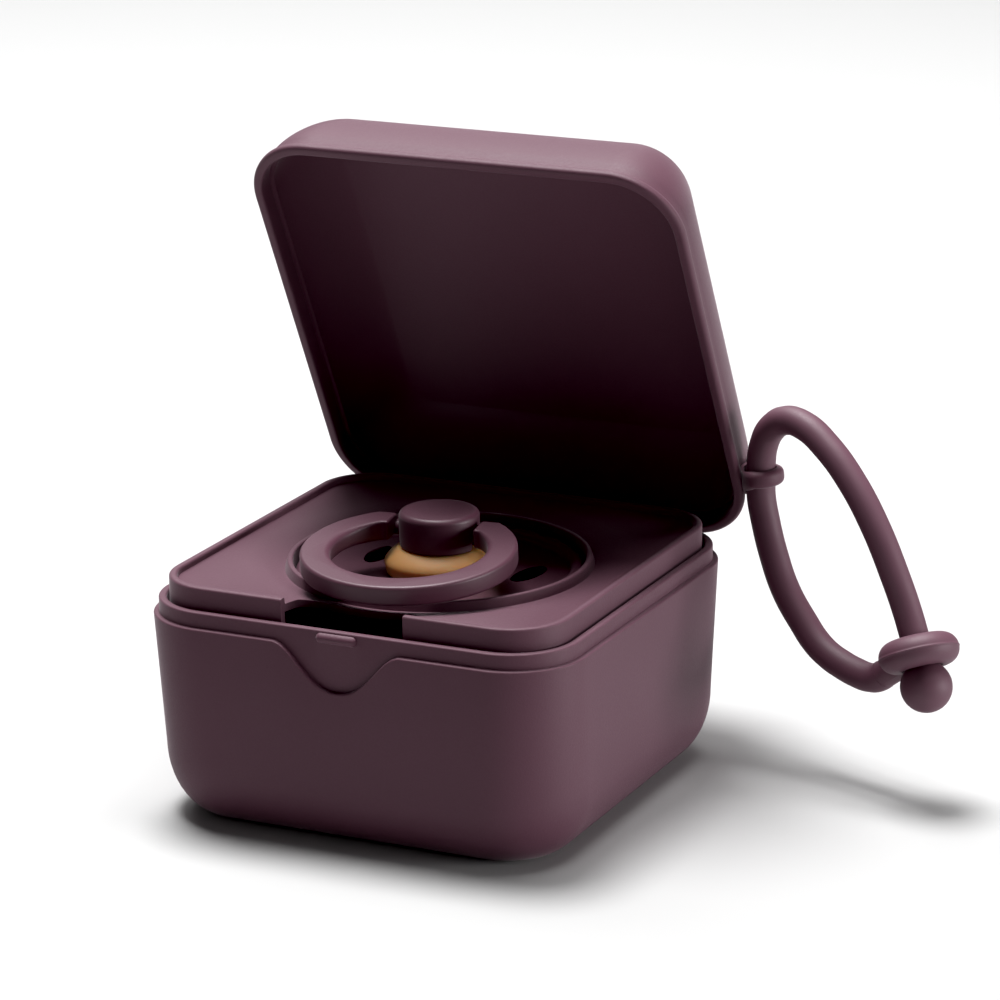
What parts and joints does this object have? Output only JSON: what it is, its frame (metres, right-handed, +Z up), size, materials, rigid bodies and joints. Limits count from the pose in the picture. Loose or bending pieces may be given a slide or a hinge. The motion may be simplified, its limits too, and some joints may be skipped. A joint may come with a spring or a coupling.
{
  "type": "pacifier box",
  "caption": "Square plastic box with a hinged lid and a tray that holds a round pacifier with a ring, and a looped silicone strap on the lid's side.",
  "frame": {"origin": "centre of the flat underside of the box", "axes": "+Z up, -Y towards the front with the finger scoop, +X towards the side with the strap"},
  "size_m": [0.1087, 0.0811, 0.0955],
  "materials": {
    "case_plastic": "fine matte moulded plum plastic",
    "strap_silicone": "soft matte plum silicone",
    "nipple_rubber": "smooth amber natural rubber",
    "pin_steel": "plain drawn steel pin"
  },
  "bodies": {
    "base": {"base_shell": "case_plastic", "hinge_pin": "pin_steel", "tray": "case_plastic"},
    "lid": {"lid": "case_plastic"},
    "pacifier": {"pacifier_shield": "case_plastic", "pacifier_nipple": "nipple_rubber", "pacifier_knob": "case_plastic"},
    "ring": {"pacifier_ring": "case_plastic"},
    "strap": {"strap_cord": "strap_silicone", "strap_button": "strap_silicone", "strap_ball": "strap_silicone"}
  },
  "joints": [
    {"name": "lid_hinge", "type": "hinge", "parent": "base", "child": "lid", "pos_m": [0, 0.0355, 0.0297], "axis": [-1, 0, 0], "range_deg": [-63.4, 46]},
    {"name": "pacifier_lift", "type": "slide", "parent": "base", "child": "pacifier", "axis": [0, 0, 1], "range_m": [0, 0.045]},
    {"name": "ring_pivot", "type": "hinge", "parent": "pacifier", "child": "ring", "pos_m": [0, 0, 0.0389], "axis": [-0.9962, -0.0872, 0], "range_deg": [0, 182]},
    {"name": "strap_swivel", "type": "hinge", "parent": "lid", "child": "strap", "pos_m": [0.03775, 0.03267, 0.04249], "axis": [0, 0, 1], "range_deg": [-10, 60]}
  ]
}
